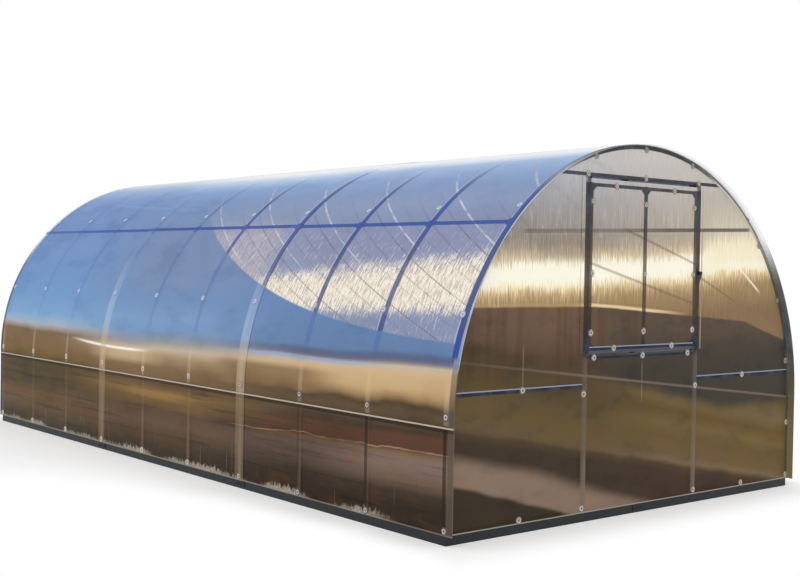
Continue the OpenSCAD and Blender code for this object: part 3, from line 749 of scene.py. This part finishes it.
def paintedSteel(name, base, worn, dust, rough=0.45):
    # painted steel: body tone drifted by noise, dust on what faces up, small chips
    p = Painter(name, Roughness=rough, Specular_IOR_Level=0.45)
    drift = p.noise(p.place, 3.0, detail=4.0)
    grain = p.noise(p.place, 90.0, detail=2.0)
    colour = p.mix(drift.fade(0.3, 0.7), base, [v * 0.72 for v in base])
    chips = (drift * 0.35 + grain).fade(0.9, 0.95)
    colour.lay(chips, worn)
    normal = p.value("ShaderNodeNewGeometry", output="Normal")
    facing = p.value("ShaderNodeSeparateXYZ", {"Vector": normal}, "Z")
    dusty = facing.fade(0.4, 0.95) * grain.fade(0.2, 0.7, 0.35, 0.8)
    colour.lay(dusty, dust)
    p.set(Base_Color=colour, Roughness=grain.fade(0.3, 0.7, rough - 0.08, rough + 0.14))
    p.bump(grain, 0.12, 0.0004)
    return p.material


def zincPaint(name):
    # galvanised plate: patches of slightly different grey, streaks of white bloom
    p = Painter(name, Metallic=0.85, Roughness=0.42)
    cells = p.value("ShaderNodeTexVoronoi", {"Vector": p.place, "Scale": 70.0}, "Color")
    grey = p.value("ShaderNodeRGBToBW", {"Color": cells})
    bloom = p.noise(p.place, 24.0, detail=4.0, rough=0.7)
    colour = p.mix(grey, (118, 122, 128), (158, 161, 166))
    colour.lay(bloom.fade(0.5, 0.75, 0, 0.6), (196, 196, 192))
    p.set(Base_Color=colour, Roughness=bloom.fade(0.3, 0.7, 0.34, 0.6))
    p.bump(bloom, 0.1, 0.0005)
    return p.material


def plasticPaint(name, tone):
    # moulded plastic: fine grain and a worn, greyer face
    p = Painter(name, Roughness=0.38)
    grain = p.noise(p.place, 420.0, detail=1.0)
    worn = p.noise(p.place, 30.0, detail=3.0)
    colour = p.mix(worn.fade(0.45, 0.75, 0, 0.5), tone, [v + 40 for v in tone])
    p.set(Base_Color=colour, Roughness=worn.fade(0.3, 0.7, 0.3, 0.52))
    p.bump(grain, 0.15, 0.0003)
    return p.material


paints = {
    "cover": coverPaint("endCoverSheet", endSheet[1].x),
    "coverMid": coverPaint("middleCoverSheet", midSheet[1].x),
    "gableFront": gablePaint("frontGableSheet", gableSheet[0].y),
    "gableRear": gablePaint("rearGableSheet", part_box("rear_glazing")[1].y),
    "leafFront": gablePaint("ventSheet", leafSheet[0].y),
    "leafRear": gablePaint("doorSheet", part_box("door_sheet")[1].y),
    "steel": paintedSteel("frameSteel", (62, 64, 76), (120, 110, 104), (120, 122, 128)),
    "base": paintedSteel("baseSteel", (15, 20, 27), (104, 98, 90), (100, 98, 94)),
    "zinc": zincPaint("bracketZinc"),
    "black": plasticPaint("latchPlastic", (34, 34, 38)),
}


def paintFor(node):
    # which finish a CAD piece gets, by its name
    if node.startswith("cover_"):
        return "coverMid" if node == "cover_middle" else "cover"
    known = {
        "front_glazing": "gableFront", "rear_glazing": "gableRear", "vent_sheet": "leafFront",
        "door_sheet": "leafRear", "vent_latch": "black", "door_handle": "black",
        "foot_brackets": "zinc", "purlin_plates": "steel", "gusset_plates": "steel", "hinges": "zinc",
    }
    return known.get(node, "base" if node.startswith("base_") else "steel")


for name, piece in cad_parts.items():
    piece.data.materials.clear()
    piece.data.materials.append(paints[paintFor(name)])
print("CAD pieces painted:", len(paints), "finishes")


def buildMesh(name, points, faces, paint, slot, smooth=True):
    # one piece made of four-sided faces, fixed to the greenhouse
    mesh = bpy.data.meshes.new(name)
    mesh.from_pydata(points.tolist(), [], faces.tolist())
    mesh.validate()
    if smooth:
        mesh.shade_smooth()
    piece = bpy.data.objects.new(name, mesh)
    bpy.context.scene.collection.objects.link(piece)
    mesh.materials.append(paint)
    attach(piece, "root")
    return piece


def turned(profile, sides):
    # a profile of (radius, height) points spun about the Z axis; the last point is on the axis
    radius, height = np.array(profile, float).T
    turn = np.arange(sides) * 2 * math.pi / sides
    x = radius[:, None] * np.cos(turn)
    y = radius[:, None] * np.sin(turn)
    z = np.repeat(height[:, None], sides, 1)
    points = np.stack([x, y, z], -1).reshape(-1, 3)
    row, col = np.meshgrid(np.arange(len(radius) - 1), np.arange(sides), indexing="ij")
    nextCol = (col + 1) % sides
    faces = np.stack([row * sides + col, row * sides + nextCol,
                      (row + 1) * sides + nextCol, (row + 1) * sides + col], -1).reshape(-1, 4)
    return points, faces


def scattered(shape, places, outwards, spins):
    # copies of one small shape, its Z axis turned to each outward direction, as one array
    points, faces = shape
    out = np.array(outwards, float)
    side = np.cross(out, [0, 0, 1.0])
    side = np.where(np.linalg.norm(side, axis=1, keepdims=True) < 0.1, [1.0, 0, 0], side)
    side /= np.linalg.norm(side, axis=1, keepdims=True)
    other = np.cross(out, side)
    c, s = np.cos(spins)[:, None], np.sin(spins)[:, None]
    first, second = c * side + s * other, c * other - s * side
    axes = np.stack([first, second, out], 1)
    moved = np.einsum("pk,nkj->npj", points, axes) + np.array(places, float)[:, None]
    shift = (np.arange(len(out)) * len(points))[:, None, None]
    return moved.reshape(-1, 3), (faces[None] + shift).reshape(-1, 4)


# Washers that hold the sheets: a low plastic dome with a cap, and a screw head in it
washer = {
    "radius": 0.0210, "cap": 0.0115, "high": 0.0038, "sides": 24, "headRadius": 0.0042, "headHigh": 0.0013,
    # rows on the cover: girth of the two lower ones, degrees up the bend of the two upper ones
    "girths": (0.075, 0.648), "angles": (21.2, 47.8),
    # on the gables' arches: degrees, and how far in from the arch's outer radius
    "archAngles": (8, 24, 40, 73, 90, 107, 140, 156, 172), "inset": 0.0225,
    # on the leaves: heights up the stiles, distance of the rows at top and bottom from the middle
    "stileHeights": (1.05, 1.38, 1.78), "rowApart": 0.26,
}


def washerPlaces():
    # rows on the legs and the bend at every arch, on both sides, as (place, outward direction)
    turns = [max(girth - legHeight, 0.0) / archRadius for girth in washer["girths"]]
    turns += [math.radians(angle) for angle in washer["angles"]]
    found = []
    for side in (-1, 1):
        for y in archPlaces:
            sheet = midSheet if midSheet[0].y < y < midSheet[1].y else endSheet
            reach = sheet[1].x
            for turn in turns:
                out = (side * math.cos(turn), 0, math.sin(turn))
                height = legHeight + reach * out[2] if turn else washer["girths"][0]
                found.append(((reach * out[0], y, height), out))
    return found


def gableWashers(end):
    # one gable's washers: its sheet on the arch, the posts and the bars, and the leaf's sheet on its frame
    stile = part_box("vent_frame")[1].x - 0.010
    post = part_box("front_post_right")[1].x - 0.014
    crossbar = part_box("front_crossbar")[1].z - 0.008
    girt = (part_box("front_girts")[0].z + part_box("front_girts")[1].z) / 2
    onSheet = [(s * x, z) for s in (-1, 1) for x, z in (
        (post, girt - 0.045), (post, 0.078), (0.99, 0.070), (0.98, girt), (post - 0.005, crossbar),
        (1.487, 0.075), (1.487, 0.42))] + [(0.0, crossbar)]
    reach = archRadius - washer["inset"]
    for turn in np.radians(washer["archAngles"]):
        onSheet.append((reach * math.cos(turn), legHeight + reach * math.sin(turn)))
    leafLow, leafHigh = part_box("vent_frame")
    apart, levels = washer["rowApart"], washer["stileHeights"]
    onLeaf = [(s * stile, z) for s in (-1, 1) for z in levels]
    onLeaf += [(s * apart, leafHigh.z - 0.010) for s in (-1, 1)]
    if end < 0:
        onSheet += [(x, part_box("front_sill")[1].z - 0.014) for x in (-0.42, 0.0, 0.42)]
        onLeaf += [(0.0, z) for z in levels] + [(s * apart, leafLow.z + 0.010) for s in (-1, 1)]
        sheetFace, leafFace = gableSheet[0].y, leafSheet[0].y
    else:
        onLeaf += [(s * stile, z) for s in (-1, 1) for z in (0.14, 0.55)]
        onLeaf += [(s * apart, leafLow.z + 0.010) for s in (-1, 1)]
        sheetFace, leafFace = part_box("rear_glazing")[1].y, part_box("door_sheet")[1].y
    covered = [(x, z) for x, z in onSheet
               if not (abs(x) < leafSheet[1].x and leafSheet[0].z < z < leafSheet[1].z)]
    places = [(x, sheetFace, z) for x, z in covered] + [(x, leafFace, z) for x, z in onLeaf]
    return [(place, (0, end, 0)) for place in places]


def addWashers(name, found):
    # domes that know how far each point is from their axis, and the screw heads in them
    places, outwards = zip(*found)
    w = washer
    r, cap, high = w["radius"], w["cap"], w["high"]
    dome = turned([(r * 0.97, 0.0), (r, high * 0.25), (r * 0.93, high * 0.55), (r * 0.75, high * 0.78),
                   (cap * 1.2, high * 0.86), (cap, high), (cap * 0.8, high), (cap * 0.66, high * 0.74),
                   (0.0001, high * 0.70)], w["sides"])
    spins = np.random.default_rng(7).uniform(0, math.pi, len(places))
    piece = buildMesh(name, *scattered(dome, places, outwards, spins), paints["washer"], "bracket_zinc")
    share = np.linalg.norm(dome[0][:, :2], axis=1) / r
    rim = piece.data.attributes.new("rim", "FLOAT", "POINT")
    rim.data.foreach_set("value", np.tile(share, len(places)).astype(np.float32))
    foot, top = high * 0.68, high * 0.66 + w["headHigh"]
    r = w["headRadius"]
    head = turned([(r * 1.15, foot), (r * 1.15, foot + 0.0004), (r, foot + 0.0005), (r, top - 0.0003),
                   (r * 0.8, top), (0.0001, top)], 6)
    heads = scattered(head, places, outwards, spins)
    buildMesh(name + "_screws", *heads, paints["screw"], "black_plastic", False)


def washerPaint():
    # weathered clear plastic: a pale cap and a darker skirt, whose dark ring is painted shade; rim is 0 on
    # the axis and 1 outside
    p = Painter("washerPlastic", Roughness=0.35)
    grime = p.noise(p.place, 60.0, detail=3.0)
    rim = p.value("ShaderNodeAttribute", output="Fac", attribute_name="rim")
    cap = p.mix(grime.fade(0.35, 0.7), (208, 202, 196), (172, 165, 160))
    skirt = p.mix(grime.fade(0.35, 0.7), (146, 136, 130), (108, 98, 94))
    colour = p.mix(rim.fade(0.56, 0.72), cap, skirt)
    # along the sides the skirts are painted dark at the front, as painted shade, and the whole washers
    # painted pale at the rear, as painted light
    onSide = abs(p.x).fade(archRadius - 0.004, archRadius + 0.001)
    rearward = onSide * p.y.fade(-1.6, 0.4, 0, 0.8)
    onSide -= rearward
    colour.lay(onSide * rim.fade(0.56, 0.72, 0, 0.85), (76, 68, 84))
    colour.lay(rearward, (206, 196, 178))
    # painted shade in the recess round the screw
    colour.lay(rim.fade(0.42, 0.34), (122, 112, 108))
    # those high on the gables are painted nearly as pale as the sheet's painted reflection, and those on the
    # bend take the sky's colour as a painted reflection
    bright = p.z.fade(1.15, 1.3, 0, 0.62) * rim.fade(1.1, 0.6, 0.8, 1)
    colour.lay(bright, (178, 170, 160))
    radial = p.fromAxis()
    sky = radial.fade(archRadius - 0.004, archRadius + 0.002) * p.z.fade(0.85, 1)
    tint = p.mix(rim.fade(0.56, 0.72), (196, 212, 236), (140, 160, 196))
    colour.lay(sky * 0.8, tint)
    # clear skirts above the border, and a dull grey on the gables' arches
    clear = rim.fade(0.5, 0.66) * p.z.fade(1.1, 1.3, 0, 0.62)
    clear *= radial.fade(archRadius - 0.003, archRadius - 0.007)
    onArch = radial.band(archRadius - washer["inset"], 0.022, 0.004) * p.z.fade(0.5, 0.7)
    colour.lay(onArch * 0.55, (112, 112, 110))
    p.set(Base_Color=colour, Roughness=grime.fade(0.3, 0.7, 0.28, 0.5), Alpha=1 - clear)
    return p.material


paints["washer"] = washerPaint()
paints["screw"] = paintedSteel("screwSteel", (116, 110, 108), (128, 122, 118), (120, 114, 110))
addWashers("cover_washers", washerPlaces())
addWashers("front_gable_washers", gableWashers(-1))
addWashers("rear_gable_washers", gableWashers(1))
print("washers placed")


# Bolts of the frame: a flat washer under a chamfered hexagon head
bolt = {
    "plate": 0.0078, "thick": 0.0010, "head": 0.0054, "high": 0.0036,
    # distances from the middle of a splice, a purlin plate, a gusset and a hinge; degrees to the upper plates
    "splice": (-0.042, -0.016, 0.016, 0.042), "purlin": (-0.034, 0.034), "gusset": (-0.043, 0.043),
    "hinge": (-0.02, 0.02), "upperPlate": 43.3,
}


def baseBolts():
    # four in each splice of the base rails
    low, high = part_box("base_splices")
    level = (low.z + high.z) / 2
    found = []
    for k in bolt["splice"]:
        for y in (archPlaces[3], archPlaces[6]):
            found += [((side * high.x, y + k, level), (side, 0, 0)) for side in (-1, 1)]
        found += [((k, low.y, level), (0, -1, 0)), ((k, high.y, level), (0, 1, 0))]
    return found


def boltPlaces():
    # feet of the arches, plates behind the purlins and the gables' corners, hinges
    found = []
    low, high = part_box("foot_brackets")
    foot = low.z + (high.z - low.z) * 0.62
    for side in (-1, 1):
        found += [((side * (high.x - 0.003), y, foot), (-side, 0, 0)) for y in archPlaces[1:-1]]
    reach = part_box("purlin_plates")[1].x - 0.003
    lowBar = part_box("purlin_left_lower")
    turn = math.radians(bolt["upperPlate"])
    for side in (-1, 1):
        for y in archPlaces:
            for k in bolt["purlin"]:
                if abs(y + k) > archPlaces[-1]:
                    continue
                found.append(((side * reach, y + k, (lowBar[0].z + lowBar[1].z) / 2), (-side, 0, 0)))
                out = (side * math.cos(turn), 0, math.sin(turn))
                found.append(((reach * out[0], y + k, legHeight + reach * out[2]), (-out[0], 0, -out[2])))
    low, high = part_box("gusset_plates")
    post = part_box("front_post_right")
    middle = (post[0].x + post[1].x) / 2
    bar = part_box("front_crossbar")
    for end, face in ((1, low.y + 0.003), (-1, high.y - 0.003)):
        for side in (-1, 1):
            level = (bar[0].z + bar[1].z) / 2
            found += [((side * middle + k, face, level), (0, end, 0)) for k in bolt["gusset"]]
            found.append(((side * middle, face, bar[0].z - 0.036), (0, end, 0)))
    for name, side, end in (("vent_frame", -1, -1), ("door_frame", 1, 1)):
        low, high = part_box(name)
        heights = [low.z + 0.15, high.z - 0.15] + ([(low.z + high.z) / 2] if end > 0 else [])
        face = end * (archPlaces[-1] - archTube / 2 - 0.002)
        x = side * (post[0].x + 0.014)
        found += [((x, face, z + k), (0, -end, 0)) for z in heights for k in bolt["hinge"]]
    return found


def addBolts(name, paint, found):
    # flat washers and the hexagon heads on them
    places, outwards = zip(*found)
    r, thick = bolt["plate"], bolt["thick"]
    plate = turned([(r, 0.0), (r, thick * 0.8), (r * 0.95, thick), (0.0001, thick)], 20)
    r, top = bolt["head"], thick + bolt["high"]
    head = turned([(r, thick), (r, top - 0.0006), (r * 0.88, top), (0.0001, top)], 6)
    spins = np.random.default_rng(11).uniform(0, math.pi, len(places))
    buildMesh(name + "_washers", *scattered(plate, places, outwards, spins), paint, "bracket_zinc")
    buildMesh(name, *scattered(head, places, outwards, spins), paint, "bracket_zinc", False)


addBolts("base_bolts", paints["base"], baseBolts())
addBolts("frame_bolts", paints["zinc"], boltPlaces())
print("bolts placed")


# Floor, backdrop and light
stageLook = {"size": 60.0, "world": 0.62, "key": 1.6, "softness": 50.0, "sunTurn": (42, 0, -40)}
plainWhite = (1.0, 1.0, 1.0, 1.0)


def floorPaint():
    # white near the object where it takes the shadow, plain white further out
    p = Painter("floorWhite", Roughness=0.9, Specular_IOR_Level=0.0)
    cloud = p.noise(p.place, 0.7, detail=2.0)
    p.set(Base_Color=p.mix(cloud, (248, 248, 248), (251, 251, 251)))
    # whiteness grows with the distance from the footprint: fast past the ends, slower beside the rear bays
    aside = abs(p.x) - (cadHigh.x + 0.02) + cloud * 0.3 - 0.15
    aside = (aside * p.y.fade(-3.0, 1.6, 4.6, 0.22)).fade(0, 1.4)
    before = (abs(p.y) - cadHigh.y).fade(-0.02, 0.42)
    rays = p.node("ShaderNodeLightPath").outputs
    seen = p.largest(aside, before) * p.largest(rays["Is Camera Ray"], rays["Is Transmission Ray"])
    white = p.node("ShaderNodeEmission", {"Color": plainWhite, "Strength": 1.0})
    both = p.node("ShaderNodeMixShader", {0: seen, 1: p.shader.outputs[0], 2: white.outputs[0]})
    p.put(p.out.inputs[0], both.outputs[0])
    return p.material


def makeStage(look):
    # a wide floor just under the part, even light all round that the eye sees as white, and one soft lamp
    half, cells = look["size"], 8
    gx, gy = np.meshgrid(*[np.linspace(-half, half, cells + 1)] * 2, indexing="ij")
    points = np.stack([gx, gy, np.full_like(gx, cadLow.z - 0.0005)], -1).reshape(-1, 3)
    row, col = np.meshgrid(np.arange(cells), np.arange(cells), indexing="ij")
    first = row * (cells + 1) + col
    faces = np.stack([first, first + cells + 1, first + cells + 2, first + 1], -1).reshape(-1, 4)
    mesh = bpy.data.meshes.new("floor")
    mesh.from_pydata(points.tolist(), [], faces.tolist())
    mesh.materials.append(floorPaint())
    floor = bpy.data.objects.new("floor", mesh)
    bpy.context.scene.collection.objects.link(floor)

    world = bpy.data.worlds.new("studio")
    bpy.context.scene.world = world
    world.use_nodes = True
    sky = Nodes(world.node_tree)
    rays = sky.node("ShaderNodeLightPath").outputs
    shown = sky.largest(rays["Is Camera Ray"], rays["Is Transmission Ray"])
    soft, white = (sky.node("ShaderNodeBackground", {"Color": plainWhite, "Strength": strength}).outputs[0]
                   for strength in (look["world"], 1.0))
    mixed = sky.node("ShaderNodeMixShader", {0: shown, 1: soft, 2: white})
    sky.node("ShaderNodeOutputWorld", {0: mixed.outputs[0]})

    lamp = bpy.data.lights.new("key", "SUN")
    lamp.energy = look["key"]
    lamp.angle = math.radians(look["softness"])
    key = bpy.data.objects.new("key", lamp)
    bpy.context.scene.collection.objects.link(key)
    key.rotation_euler = [math.radians(angle) for angle in look["sunTurn"]]


makeStage(stageLook)

# Camera: place in metres, heading from +Y towards +X, tilt and roll in degrees
cameraLook = {
    "place": (-5.5405, -7.3764, 1.4032), "heading": 39.62, "tilt": -1.048, "roll": 0.978, "lens": 54.37,
}


def makeCamera(look):
    data = bpy.data.cameras.new("camera")
    data.lens = look["lens"]
    data.sensor_width = 36.0
    data.clip_end = 500.0
    camera = bpy.data.objects.new("camera", data)
    bpy.context.scene.collection.objects.link(camera)
    bpy.context.scene.camera = camera
    camera.matrix_world = (Matrix.Translation(look["place"])
                           @ Matrix.Rotation(-math.radians(look["heading"]), 4, "Z")
                           @ Matrix.Rotation(quarterTurn + math.radians(look["tilt"]), 4, "X")
                           @ Matrix.Rotation(math.radians(look["roll"]), 4, "Z"))


makeCamera(cameraLook)
bpy.context.scene.view_settings.view_transform = "Standard"
print("stage, light and camera ready")
